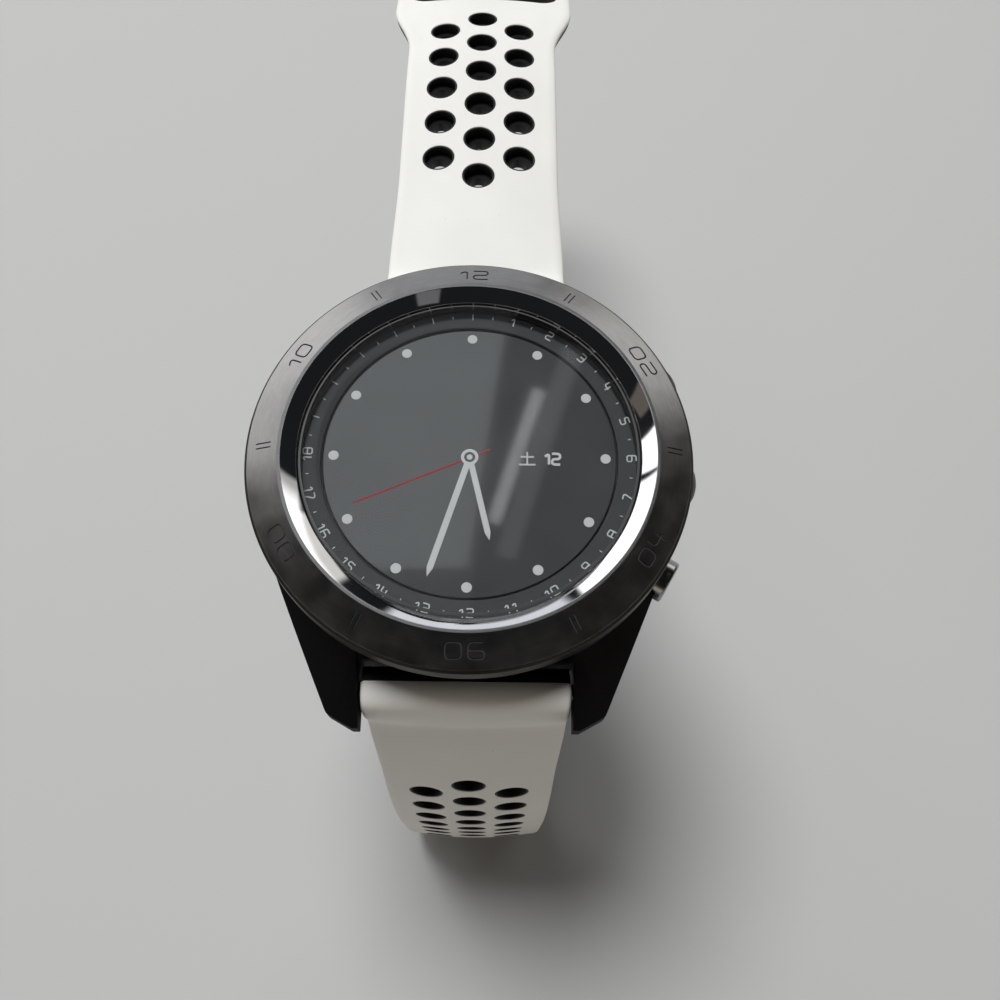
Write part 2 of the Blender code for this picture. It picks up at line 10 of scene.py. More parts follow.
import bmesh
import bpy
from mathutils import Matrix, Vector


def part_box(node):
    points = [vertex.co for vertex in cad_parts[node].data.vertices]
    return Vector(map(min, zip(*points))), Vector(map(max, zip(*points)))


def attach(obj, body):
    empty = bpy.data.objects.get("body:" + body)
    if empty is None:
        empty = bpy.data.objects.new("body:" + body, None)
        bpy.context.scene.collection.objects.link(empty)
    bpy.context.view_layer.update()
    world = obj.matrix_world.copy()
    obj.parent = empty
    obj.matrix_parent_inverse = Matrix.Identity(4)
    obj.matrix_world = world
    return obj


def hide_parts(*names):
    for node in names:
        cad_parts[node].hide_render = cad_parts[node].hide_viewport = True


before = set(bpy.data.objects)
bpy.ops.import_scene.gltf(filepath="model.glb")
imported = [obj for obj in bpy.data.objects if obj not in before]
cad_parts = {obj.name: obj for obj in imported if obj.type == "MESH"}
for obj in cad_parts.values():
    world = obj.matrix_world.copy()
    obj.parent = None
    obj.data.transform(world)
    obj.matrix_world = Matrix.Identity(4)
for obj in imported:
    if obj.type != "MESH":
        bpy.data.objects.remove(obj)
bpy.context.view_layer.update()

MM = 0.001
DIAL_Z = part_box("display_panel")[1].z
HEAD = Matrix.Translation((0, 0, DIAL_Z)) @ Matrix.Scale(MM, 4)


def above_dial(node, corner):
    """The lowest (0) or highest (1) level of a CAD node over the dial, in millimetres."""
    return (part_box(node)[corner].z - DIAL_Z) / MM


def reach(node):
    """The radius of a round CAD node on the head's axis, in millimetres."""
    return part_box(node)[1].x / MM


BEZEL_R = reach("bezel_ring")
BEZEL_TOP = above_dial("bezel_ring", 1)
BEZEL_FOOT = above_dial("bezel_ring", 0)
LENS_R = reach("lens")
LENS_TOP = above_dial("lens", 1)
CASE_TOP = above_dial("case_body", 1)
CASE_BOTTOM = above_dial("case_body", 0)
PIN_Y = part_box("lug_pin_upper")[0].y / MM + 0.8
PIN_Z = above_dial("lug_pin_upper", 0) + 0.8

# Bezel: the brushed cone runs from the ridge down to the rim.
RIDGE_R = 19.85
RIM_R = 23.2
RIM_Z = 1.44
ENGRAVED_R = 21.4
ENGRAVED_DEPTH = 0.13

# The display, and the middles of its dots and of the ring of hole numbers round it.
DISPLAY_R = 15.5
DOT_RING_R = 14.41
DIAL_NUMBER_R = 17.15
DATE_Y = -0.1

# ---------------------------------------------------------------- meshes


def smooth(value):
    value = min(1.0, max(0.0, value))
    return value * value * (3 - 2 * value)


def clockwise(angle, radius):
    """The point at an angle in degrees, clockwise from 12 o'clock."""
    turn = math.radians(angle)
    return radius * math.sin(turn), radius * math.cos(turn)


def arc(radius, start, end, steps, centre=(0.0, 0.0)):
    """Points on a circle between two angles in degrees, counted from +X towards +Y."""
    points = []
    for i in range(steps + 1):
        angle = math.radians(start + (end - start) * i / steps)
        points.append((centre[0] + radius * math.cos(angle), centre[1] + radius * math.sin(angle)))
    return points


def rounded(points, radius, steps=4, closed=True):
    """An outline whose corners are arcs. The radius is one number, or one for each corner."""
    radii = radius if isinstance(radius, (list, tuple)) else [radius] * len(points)
    made = []
    for i, (point, r) in enumerate(zip(points, radii)):
        if r <= 0 or (not closed and i in (0, len(points) - 1)):
            made.append(tuple(point))
            continue
        corner = Vector(point)
        before = Vector(points[i - 1]) - corner
        after = Vector(points[(i + 1) % len(points)]) - corner
        half = before.angle(after) / 2
        if half > math.radians(89):
            made.append(tuple(point))
            continue
        reach_along = min(r / math.tan(half), 0.48 * before.length, 0.48 * after.length)
        r = reach_along * math.tan(half)
        centre = corner + (before.normalized() + after.normalized()).normalized() * r / math.sin(half)
        first = corner + before.normalized() * reach_along - centre
        last = corner + after.normalized() * reach_along - centre
        turn = first.angle(last)
        for k in range(steps + 1):
            t = k / steps
            near = math.sin((1 - t) * turn) / math.sin(turn)
            far = math.sin(t * turn) / math.sin(turn)
            made.append(tuple(centre + first * near + last * far))
    return made


def as_mesh(shape):
    bmesh.ops.recalc_face_normals(shape, faces=shape.faces)
    mesh = bpy.data.meshes.new("mesh")
    shape.to_mesh(mesh)
    shape.free()
    return mesh


def turned(profile, steps=192):
    """A (radius, height) profile turned about Z: a ring, or a solid if its ends are on the axis."""
    shape = bmesh.new()
    rings = []
    for radius, height in profile:
        if radius < 1e-6:
            rings.append([shape.verts.new((0, 0, height))])
            continue
        ring = []
        for k in range(steps):
            angle = 2 * math.pi * k / steps
            ring.append(shape.verts.new((radius * math.cos(angle), radius * math.sin(angle), height)))
        rings.append(ring)
    pairs = list(zip(rings, rings[1:]))
    if len(rings[0]) > 1:
        pairs.append((rings[-1], rings[0]))
    for near, far in pairs:
        for k in range(steps):
            j = (k + 1) % steps
            corners = [near[k % len(near)], far[k % len(far)], far[j % len(far)], near[j % len(near)]]
            kept = [c for n, c in enumerate(corners) if c not in corners[:n]]
            shape.faces.new(kept)
    return as_mesh(shape)


def prism(outline, low, high):
    """A flat outline in X and Y, extruded from one height to another."""
    shape = bmesh.new()
    lower = [shape.verts.new((x, y, low)) for x, y in outline]
    upper = [shape.verts.new((x, y, high)) for x, y in outline]
    shape.faces.new(list(reversed(lower)))
    shape.faces.new(upper)
    count = len(outline)
    for i in range(count):
        j = (i + 1) % count
        shape.faces.new((lower[i], lower[j], upper[j], upper[i]))
    return as_mesh(shape)


def block(size, centre, turn=0.0):
    """A box about a centre, turned about its own X axis."""
    shape = bmesh.new()
    bmesh.ops.create_cube(shape, size=1.0)
    bmesh.ops.scale(shape, verts=shape.verts, vec=size)
    place = Matrix.Translation(centre) @ Matrix.Rotation(math.radians(turn), 4, "X")
    bmesh.ops.transform(shape, verts=shape.verts, matrix=place)
    return as_mesh(shape)


def joined(*meshes):
    """The meshes as one, each kept as a separate closed body."""
    shape = bmesh.new()
    for mesh in meshes:
        shape.from_mesh(mesh)
        bpy.data.meshes.remove(mesh)
    mesh = bpy.data.meshes.new("joined")
    shape.to_mesh(mesh)
    shape.free()
    return mesh


def moved(mesh, matrix):
    mesh.transform(matrix)
    return mesh


def with_modifiers(mesh, add):
    """The mesh after the modifiers that add() puts on it."""
    obj = bpy.data.objects.new("work", mesh)
    bpy.context.scene.collection.objects.link(obj)
    helpers = add(obj) or []
    depsgraph = bpy.context.evaluated_depsgraph_get()
    made = bpy.data.meshes.new_from_object(obj.evaluated_get(depsgraph))
    for used in [obj, *helpers]:
        data = used.data
        bpy.data.objects.remove(used, do_unlink=True)
        bpy.data.meshes.remove(data)
    return made


def combined(mesh, *others, operation="DIFFERENCE"):
    """The mesh cut by the others, or joined with them by a UNION."""

    def add(obj):
        helpers = []
        for other in others:
            helper = bpy.data.objects.new("cutter", other)
            bpy.context.scene.collection.objects.link(helper)
            modifier = obj.modifiers.new("Cut", "BOOLEAN")
            modifier.operation = operation
            modifier.object = helper
            modifier.solver = "EXACT"
            helpers.append(helper)
        return helpers

    return with_modifiers(mesh, add)


def bevelled(mesh, width, segments, angle=35):
    """Edges sharper than the angle, rounded."""

    def add(obj):
        modifier = obj.modifiers.new("Round", "BEVEL")
        modifier.width = width
        modifier.segments = segments
        modifier.limit_method = "ANGLE"
        modifier.angle_limit = math.radians(angle)
        modifier.use_clamp_overlap = True

    return with_modifiers(mesh, add)


def paint(mesh, rule):
    """Each face takes the material slot that the rule gives for its centre and normal."""
    for face in mesh.polygons:
        face.material_index = rule(face.center, face.normal)
    return mesh


def piece(name, mesh, body, materials, place=HEAD, replaces=(), sharp=32):
    """A shown piece of the watch, riding on its CAD body."""
    mesh.transform(place)
    mesh.name = name
    indices = [face.material_index for face in mesh.polygons]
    mesh.materials.clear()
    for material in materials:
        mesh.materials.append(material)
    mesh.polygons.foreach_set("material_index", indices)
    mesh.shade_smooth()
    mesh.set_sharp_from_angle(angle=math.radians(sharp))
    obj = bpy.data.objects.new(name, mesh)
    bpy.context.scene.collection.objects.link(obj)
    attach(obj, body)
    if replaces:
        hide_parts(*replaces)
    return obj


# ---------------------------------------------------------------- digits

# Each digit's strokes in a box of 1 by 1. The first stroke is the main one, and True closes it.
STROKES = {
    "0": [(True, [(0, 0), (1, 0), (1, 1), (0, 1)])],
    "1": [(False, [(0.3, 0.72), (0.78, 1), (0.78, 0)])],
    "2": [(False, [(0, 1), (1, 1), (1, 0.5), (0, 0.5), (0, 0), (1, 0)])],
    "3": [(False, [(0, 1), (1, 1), (1, 0), (0, 0)]), (False, [(0.2, 0.5), (1, 0.5)])],
    "4": [(False, [(0, 1), (0, 0.36), (1, 0.36)]), (False, [(0.74, 0.8), (0.74, 0)])],
    "5": [(False, [(1, 1), (0, 1), (0, 0.55), (1, 0.55), (1, 0), (0, 0)])],
    "6": [
        (False, [(0.9, 1), (0, 1), (0, 0), (0.6, 0)]),
        (False, [(0.5, 0), (1, 0), (1, 0.52), (0, 0.52)]),
    ],
    "7": [(False, [(0, 1), (1, 1), (0.36, 0)])],
    "8": [(True, [(0, 0), (1, 0), (1, 1), (0, 1)]), (False, [(0, 0.52), (1, 0.52)])],
    "9": [
        (False, [(0.1, 0), (1, 0), (1, 1), (0.4, 1)]),
        (False, [(0.5, 1), (0, 1), (0, 0.48), (1, 0.48)]),
    ],
}


def text_strokes(text, width, height, gap, rounding):
    """(rank, closed, points) of each stroke of a row of digits centred on (0, 0)."""
    widths = [width * (0.62 if digit == "1" else 1.0) for digit in text]
    left = -(sum(widths) + gap * (len(text) - 1)) / 2
    strokes = []
    for digit, room in zip(text, widths):
        shift = left - (width - room) * (0.55 if digit == "1" else 0.0)
        for rank, (closed, points) in enumerate(STROKES[digit]):
            scaled = [(shift + x * width, (y - 0.5) * height) for x, y in points]
            strokes.append((rank, closed, rounded(scaled, rounding, 3, closed)))
        left += room + gap
    return strokes


def ribbon(points, closed, width, place, low, high):
    """A stroke of a width as a closed prism, put on the head by place(x, y) between two levels.

    low and high give a level for a distance from the head's axis.
    """
    count = len(points)
    sides = []
    for i, point in enumerate(points):
        here = Vector(point)
        ahead = Vector(points[(i + 1) % count]) - here if closed or i < count - 1 else None
        behind = here - Vector(points[i - 1]) if closed or i > 0 else None
        ahead = (ahead or behind).normalized()
        behind = (behind or ahead).normalized()
        middle = (ahead + behind).normalized()
        out = Vector((-middle.y, middle.x)) * (width / 2) / max(0.5, middle.dot(ahead))
        sides.append((here + out, here - out))
    shape = bmesh.new()
    rings = []
    for pair in sides:
        ring = []
        for level in (low, high):
            for flat in pair if level is low else reversed(pair):
                x, y = place(flat.x, flat.y)
                ring.append(shape.verts.new((x, y, level(math.hypot(x, y)))))
        rings.append(ring)
    pairs = list(zip(rings, rings[1:]))
    if closed:
        pairs.append((rings[-1], rings[0]))
    else:
        shape.faces.new(rings[0])
        shape.faces.new(list(reversed(rings[-1])))
    for near, far in pairs:
        for i in range(4):
            j = (i + 1) % 4
            shape.faces.new((near[i], near[j], far[j], far[i]))
    return as_mesh(shape)


def on_ring(angle, radius, outward):
    """A placing function for marks whose tops point away from the dial's centre, or towards it."""
    turn = -math.radians(angle) + (0 if outward else math.pi)
    centre = clockwise(angle, radius)

    def place(x, y):
        across = x * math.cos(turn) - y * math.sin(turn)
        along = x * math.sin(turn) + y * math.cos(turn)
        return centre[0] + across, centre[1] + along

    return place


# ---------------------------------------------------------------- materials


def feed(tree, socket, source):
    """A node's input takes another node's output, or a value."""
    if isinstance(source, bpy.types.NodeSocket):
        tree.links.new(source, socket)
    else:
        socket.default_value = source


def new_node(tree, kind, *sources, **values):
    """A node with its first inputs fed in order, and its other inputs and properties set by name."""
    node = tree.nodes.new(kind)
    for name, value in values.items():
        if name in node.inputs.keys():
            feed(tree, node.inputs[name], value)
        else:
            setattr(node, name, value)
    for socket, source in zip(node.inputs, sources):
        feed(tree, socket, source)
    return node


def maths(tree, operation, *sources):
    return new_node(tree, "ShaderNodeMath", *sources, operation=operation).outputs[0]


def vector_maths(tree, operation, *sources, **values):
    node = new_node(tree, "ShaderNodeVectorMath", *sources, operation=operation, **values)
    return node.outputs["Value" if operation in ("LENGTH", "DOT_PRODUCT") else "Vector"]


def noise(tree, vector, scale, detail=3.0, rough=0.5):
    node = new_node(tree, "ShaderNodeTexNoise", vector, Scale=scale, Detail=detail, Roughness=rough)
    return node.outputs["Fac"]


def ranged(tree, value, low, high, start=0.3, end=0.7, ease="LINEAR"):
    """The value from start to end, turned into low to high."""
    limits = {"From Min": start, "From Max": end, "To Min": low, "To Max": high}
    node = new_node(tree, "ShaderNodeMapRange", value, interpolation_type=ease, **limits)
    return node.outputs["Result"]


def mixed(tree, share, first, second):
    """A colour between two, each a colour or an output."""
    node = new_node(tree, "ShaderNodeMix", data_type="RGBA")
    feed(tree, node.inputs["Factor"], share)
    colour_inputs = [s for s in node.inputs if s.type == "RGBA"]
    for socket, value in zip(colour_inputs, (first, second)):
        feed(tree, socket, value if isinstance(value, bpy.types.NodeSocket) else (*value, 1.0))
    return next(s for s in node.outputs if s.type == "RGBA")


def shade(colour, factor):
    return tuple(min(1.0, channel * factor) for channel in colour)


def polar(tree, vector, around, outward):
    """Coordinates stretched round the head's axis, for brushing that runs round a ring."""
    split = new_node(tree, "ShaderNodeSeparateXYZ", vector)
    flat = new_node(tree, "ShaderNodeCombineXYZ", split.outputs["X"], split.outputs["Y"]).outputs[0]
    far = maths(tree, "MULTIPLY", vector_maths(tree, "LENGTH", flat), outward)
    rise = new_node(tree, "ShaderNodeCombineXYZ", Z=far).outputs[0]
    unit = vector_maths(tree, "NORMALIZE", flat)
    stretched = vector_maths(tree, "SCALE", unit, Scale=around)
    return vector_maths(tree, "ADD", stretched, rise)


def surface(
    name,
    colour,
    roughness,
    metallic=0.0,
    tint=0.12,
    patch=250.0,
    spread=0.06,
    grain=5000.0,
    bump=0.15,
    depth=0.00003,
    brushed=None,
    specks=None,
    coat=0.0,
    specular=0.5,
    emission=None,
):
    """A material whose colour and roughness wander in soft patches, with a fine grain on its surface.

    tint and spread are how far the colour and the roughness wander. patch and grain are the scales of
    the patches and of the grain per metre. brushed is (round, outward) for brushing round the dial.
    """
    material = bpy.data.materials.new(name)
    material.use_nodes = True
    tree = material.node_tree
    shader = tree.nodes["Principled BSDF"]
    where = new_node(tree, "ShaderNodeTexCoord").outputs["Object"]
    patches = noise(tree, where, patch, 4.0)
    light_and_dark = (shade(colour, 1 - tint), shade(colour, 1 + tint))
    base = mixed(tree, ranged(tree, patches, 0.0, 1.0), *light_and_dark)
    fine_place, fine_scale = (where, grain) if brushed is None else (polar(tree, where, *brushed), 1.0)
    fine = noise(tree, fine_place, fine_scale, 3.0, 0.6)
    if brushed is not None:
        base = mixed(tree, ranged(tree, fine, 0.0, 0.5), base, shade(colour, 0.72))
    if specks is not None:
        dust = noise(tree, where, 1600.0, 1.0)
        base = mixed(tree, ranged(tree, dust, 0.0, 1.0, 0.77, 0.83), base, specks)
    relief = new_node(tree, "ShaderNodeBump", Strength=bump, Distance=depth, Height=fine)
    sources = {
        "Base Color": base,
        "Roughness": ranged(tree, patches, roughness - spread, roughness + spread),
        "Metallic": metallic,
        "Coat Weight": coat,
        "Specular IOR Level": specular,
        "Normal": relief.outputs["Normal"],
    }
    if emission is not None:
        sources["Emission Color"] = (*emission[0], 1.0)
        sources["Emission Strength"] = emission[1]
    for name, source in sources.items():
        feed(tree, shader.inputs[name], source)
    return material


# How much of a plain glass's mirroring the cover glass keeps. The display's own coat adds the rest.
GLASS_MIRROR = 0.35


def lens_material():
    """Clear cover glass: it mirrors a little, more at a slant, and lets the rest through."""
    material = bpy.data.materials.new("lens_glass")
    material.use_nodes = True
    tree = material.node_tree
    tree.nodes.remove(tree.nodes["Principled BSDF"])
    where = new_node(tree, "ShaderNodeTexCoord").outputs["Object"]
    smears = noise(tree, where, 140.0, 3.0)
    clear = new_node(tree, "ShaderNodeBsdfTransparent", Color=(0.97, 0.98, 0.975, 1.0))
    gloss = new_node(tree, "ShaderNodeBsdfGlossy", Roughness=ranged(tree, smears, 0.004, 0.03))
    mirror = new_node(tree, "ShaderNodeFresnel", IOR=1.5)
    share = ranged(tree, mirror.outputs[0], 0.0, GLASS_MIRROR, 0.0, 1.0)
    both = new_node(tree, "ShaderNodeMixShader", share, clear.outputs[0], gloss.outputs[0])
    feed(tree, tree.nodes["Material Output"].inputs["Surface"], both.outputs[0])
    return material


BRUSHED = surface(
    "bezel_brushed", (0.34, 0.335, 0.33), 0.33, 1.0, tint=0.16, patch=420.0, spread=0.05,
    bump=0.35, depth=0.00002, brushed=(9.0, 7000.0),
)
POLISHED = surface(
    "bezel_polished", (0.66, 0.66, 0.67), 0.045, 1.0, tint=0.05, patch=300.0, spread=0.015,
    grain=2600.0, bump=0.03, depth=0.00001,
)
ENGRAVED = surface("bezel_engraved", (0.055, 0.055, 0.06), 0.55, 0.2, grain=9000.0, bump=0.3)
# Painted highlight: a warm brown copy of the bezel metal on the thin strip at the foot of its outer flank,
# standing in for a warm glint there.
PAINTED_BEZEL_HIGHLIGHT = surface(
    "bezel_painted_highlight", (0.16, 0.13, 0.105), 0.42, 1.0, tint=0.12, patch=300.0, bump=0.2, depth=0.00002,
)
# Painted shade: a near-black copy of the bezel metal on its outer flank, standing in for the dark
# surroundings that the flank mirrors.
PAINTED_BEZEL_SHADE = surface(
    "bezel_painted_shade", (0.03, 0.029, 0.028), 0.4, 1.0, tint=0.12, patch=300.0, bump=0.2, depth=0.00002,
)
CASE = surface(
    "case_polymer", (0.0022, 0.0022, 0.0024), 0.6, tint=0.2, patch=180.0, grain=6500.0, bump=0.35,
    depth=0.00004, specular=0.09,
)
LENS_EDGE = surface(
    "lens_edge", (0.12, 0.125, 0.125), 0.35, tint=0.08, patch=400.0, grain=9000.0, bump=0.1
)
GLASS = lens_material()
SEAL = surface("seal_rubber", (0.02, 0.02, 0.02), 0.7, tint=0.3, grain=4000.0, bump=0.3)
DIAL_BLACK = surface(
    "dial_black", (0.012, 0.012, 0.013), 0.45, tint=0.15, patch=200.0, grain=7000.0, bump=0.1, coat=0.8
)
# The display's own dark grey, made lighter to paint in part of its glow: partly its real tone and partly
# painted light.
DISPLAY_WITH_PAINTED_GLOW = surface(
    "display", (0.055, 0.055, 0.059), 0.09, tint=0.1, patch=120.0, spread=0.02, grain=3000.0,
    bump=0.0, coat=1.0,
)
LIT = surface(
    "display_lit", (0.4, 0.4, 0.41), 0.5, tint=0.05, grain=9000.0, bump=0.02,
    emission=((0.94, 0.95, 1.0), 0.13),
)
LIT_RED = surface(
    "display_red", (0.2, 0.02, 0.02), 0.5, tint=0.05, grain=9000.0, bump=0.02,
    emission=((1.0, 0.16, 0.2), 0.10),
)
PRINT = surface("dial_print", (0.46, 0.49, 0.49), 0.5, tint=0.15, patch=900.0, grain=9000.0, bump=0.05)
PLASTIC = surface("black_plastic", (0.018, 0.018, 0.019), 0.4, tint=0.2, grain=6000.0, bump=0.2)
GOLD = surface("gold_plate", (0.83, 0.6, 0.27), 0.22, 1.0, tint=0.1, grain=5000.0, bump=0.08)
BOARD = surface(
    "circuit_board", (0.012, 0.075, 0.04), 0.42, tint=0.35, patch=700.0, grain=3000.0, bump=0.25
)
STEEL = surface("steel", (0.6, 0.6, 0.61), 0.26, 1.0, tint=0.08, patch=500.0, grain=7000.0, bump=0.12)
FOIL = surface(
    "battery_foil", (0.52, 0.52, 0.54), 0.38, 0.75, tint=0.12, patch=350.0, grain=900.0,
    bump=0.3, depth=0.0001,
)
SENSOR_GLASS = surface(
    "sensor_glass", (0.008, 0.008, 0.01), 0.06, tint=0.2, grain=3000.0, bump=0.02, coat=1.0
)
BUTTON_BLACK = surface("button_black", (0.014, 0.014, 0.015), 0.33, tint=0.15, grain=7000.0, bump=0.15)
BUTTON_STEEL = surface(
    "button_steel", (0.33, 0.33, 0.335), 0.22, 1.0, tint=0.1, patch=600.0, grain=9000.0, bump=0.15
)
WHITE = surface(
    "strap_white", (0.79, 0.78, 0.755), 0.52, tint=0.025, patch=90.0, spread=0.06, grain=5200.0,
    bump=0.16, depth=0.00003, specks=(0.64, 0.61, 0.57),
)
BLACK = surface("strap_black", (0.013, 0.013, 0.014), 0.55, tint=0.2, patch=200.0, grain=5200.0, bump=0.25)

# The finish of each of the record's material slots.
KEPT_FINISHES = {
    "case_polymer": CASE,
    "bezel_metal": BRUSHED,
    "lens_glass": GLASS,
    "seal_rubber": SEAL,
    "dial_black": DIAL_BLACK,
    "display": DISPLAY_WITH_PAINTED_GLOW,
    "black_plastic": PLASTIC,
    "gold_plate": GOLD,
    "circuit_board": BOARD,
    "steel": STEEL,
    "battery_foil": FOIL,
    "sensor_glass": SENSOR_GLASS,
    "button_black": BUTTON_BLACK,
    "button_steel": BUTTON_STEEL,
    "strap_white": WHITE,
    "strap_black": BLACK,
}


def finish_cad_nodes():
    """Every CAD node keeps its material slots, each with the finish of the same name."""
    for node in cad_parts.values():
        for place in node.material_slots:
            place.material = KEPT_FINISHES[place.material.name]


# ---------------------------------------------------------------- bezel, lens and dial


def cone(radius):
    """The level of the bezel's brushed cone."""
    return BEZEL_TOP + (RIM_Z - BEZEL_TOP) * (radius - RIDGE_R) / (RIM_R - RIDGE_R)


def engraving_cutters():
    """Even hours as two digits, odd hours as two radial bars. Crossing strokes go in a second cutter."""
    ranks = {0: [], 1: []}
    depths = {0: ENGRAVED_DEPTH, 1: ENGRAVED_DEPTH - 0.03}
    for hour in range(1, 13):
        outward = hour not in (4, 6, 8)
        place = on_ring(30 * hour, ENGRAVED_R, outward)
        if hour % 2:
            strokes = [(0, False, [(side * 0.27, -0.84), (side * 0.27, 0.84)]) for side in (-1, 1)]
            width = 0.15
        else:
            strokes = text_strokes(f"{hour:02d}", 1.6, 1.5, 0.62, 0.42)
            width = 0.19
        for rank, closed, points in strokes:
            depth = depths[rank]
            low = lambda radius, depth=depth: cone(radius) - depth
            high = lambda radius: cone(radius) + 0.6
            ranks[rank].append(ribbon(points, closed, width, place, low, high))
    return [joined(*meshes) for meshes in ranks.values()]


def make_bezel():
    lip_z = above_dial("lens", 1) - 0.05
    profile = rounded(
        [
            (19.5, BEZEL_TOP),
            (RIDGE_R, BEZEL_TOP),
            (RIM_R, RIM_Z),
            (BEZEL_R, RIM_Z - 0.32),
            (BEZEL_R, BEZEL_FOOT + 0.3),
            (BEZEL_R, BEZEL_FOOT),
            (19.6, BEZEL_FOOT),
            (19.6, 0.9),
            (18.05, 0.9),
            (18.05, lip_z),
        ],
        [0.07, 0.1, 0.22, 0.2, 0, 0.15, 0, 0, 0.05, 0.06],
    )
    mesh = combined(turned(profile, 288), *engraving_cutters())

    def zone(centre, normal):
        radius = math.hypot(centre.x, centre.y)
        if radius < 19.53 and centre.z > 0.95:
            return 1
        # The outer flank: a painted warm highlight on the strip at the foot (slot 3), and painted shade
        # above it (slot 4).
        if radius > RIM_R + 0.02:
            return 3 if centre.z < BEZEL_FOOT + 0.3 else 4
        inside = RIDGE_R + 0.1 < radius < RIM_R - 0.1
        return 2 if inside and BEZEL_FOOT < centre.z < cone(radius) - 0.02 and centre.z > 1.2 else 0

    paint(mesh, zone)
    finishes = [BRUSHED, POLISHED, ENGRAVED, PAINTED_BEZEL_HIGHLIGHT, PAINTED_BEZEL_SHADE]
    piece("bezel", mesh, "head", finishes, replaces=["bezel_ring"])


def make_lens():
    low = above_dial("lens", 0)
    profile = rounded(
        [(0, LENS_TOP), (LENS_R - 0.28, LENS_TOP), (LENS_R, LENS_TOP - 0.25), (LENS_R, low), (0, low)],
        [0, 0.15, 0.08, 0.08, 0],
        closed=False,
    )
    glass = turned(profile)

    def zone(centre, normal):
        radius = math.hypot(centre.x, centre.y)
        return 1 if radius > LENS_R - 0.3 and 0.1 < normal.z < 0.95 else 0

    paint(glass, zone)
    piece("cover_glass", glass, "head", [GLASS, LENS_EDGE], replaces=["lens"])
    border_low = low - 0.07
    border_high = low - 0.02
    outer = LENS_R - 0.06
    inner = 17.68
    outline = [(outer, border_high), (outer, border_low), (inner, border_low), (inner, border_high)]
    border = turned(rounded(outline, 0.01))
    piece("lens_border", border, "head", [DIAL_BLACK])


def make_dial_ring():
    """The sloping ring round the display, with a fine raised line inside its outer edge."""
    top = above_dial("dial_ring", 1)
    profile = rounded(
        [
            (18.02, top),
            (18.02, top - 0.75),
            (15.75, top - 0.75),
            (15.75, top - 0.15),
            (15.95, top - 0.12),
            (17.7, top - 0.02),
            (17.74, top),
        ],
        [0.02, 0, 0, 0.05, 0, 0.01, 0.02],
    )
    ring = turned(profile, 256)
    piece("dial_flange", ring, "head", [DIAL_BLACK], replaces=["dial_ring"])
    outline = [(0, 0), (DISPLAY_R, 0), (DISPLAY_R, -1.0), (0, -1.0)]
    display = turned(rounded(outline, [0, 0.06, 0, 0], closed=False), 256)
    piece("display_glass", display, "head", [DISPLAY_WITH_PAINTED_GLOW], replaces=["display_panel"])


def ring_level(radius):
    """The level of the sloping ring's face."""
    return above_dial("dial_ring", 1) - 0.13 + 0.08 * (radius - 15.9) / 1.3


def make_dial_print():
    """Hole numbers 1 to 18 every 15 degrees with a tick between each two, and plain ticks up to 12."""
    low = lambda radius: ring_level(radius) - 0.03
    high = lambda radius: ring_level(radius) + 0.03
    marks = []
    for number in range(1, 19):
        place = on_ring(15 * number, DIAL_NUMBER_R, number < 7 or number > 17)
        for _, closed, points in text_strokes(str(number), 0.68, 0.95, 0.36, 0.18):
            marks.append(ribbon(points, closed, 0.145, place, low, high))
    for step in range(24):
        if step < 18:
            place = on_ring(15 * step + 22.5, DIAL_NUMBER_R, True)
            marks.append(ribbon([(0, -0.16), (0, 0.16)], False, 0.09, place, low, high))
        else:
            for offset in (0.0, 7.5):
                length = 0.34 if offset == 0.0 else 0.16
                place = on_ring(15 * step + 15 + offset, DIAL_NUMBER_R, True)
                marks.append(ribbon([(0, -length), (0, length)], False, 0.11, place, low, high))
    piece("dial_numbers", joined(*marks), "head", [PRINT])


def hand_outline(angle, start, end, width, tip):
    """A parallel hand with a pointed tip, or a tapering one if the tip is as long as the hand."""
    half = width / 2
    flat = [(-half, start), (half, start), (half, end - tip), (0, end), (-half, end - tip)]
    turn = -math.radians(angle)
    return [
        (x * math.cos(turn) - y * math.sin(turn), x * math.sin(turn) + y * math.cos(turn)) for x, y in flat
    ]


def annulus(inner, outer, low, high, steps=64):
    return turned([(outer, high), (outer, low), (inner, low), (inner, high)], steps)


def spot(radius, low, high, steps=40):
    return turned([(0, high), (radius, high), (radius, low), (0, low)], steps)


def level(height):
    """The same level at every distance from the head's axis."""
    return lambda radius: height


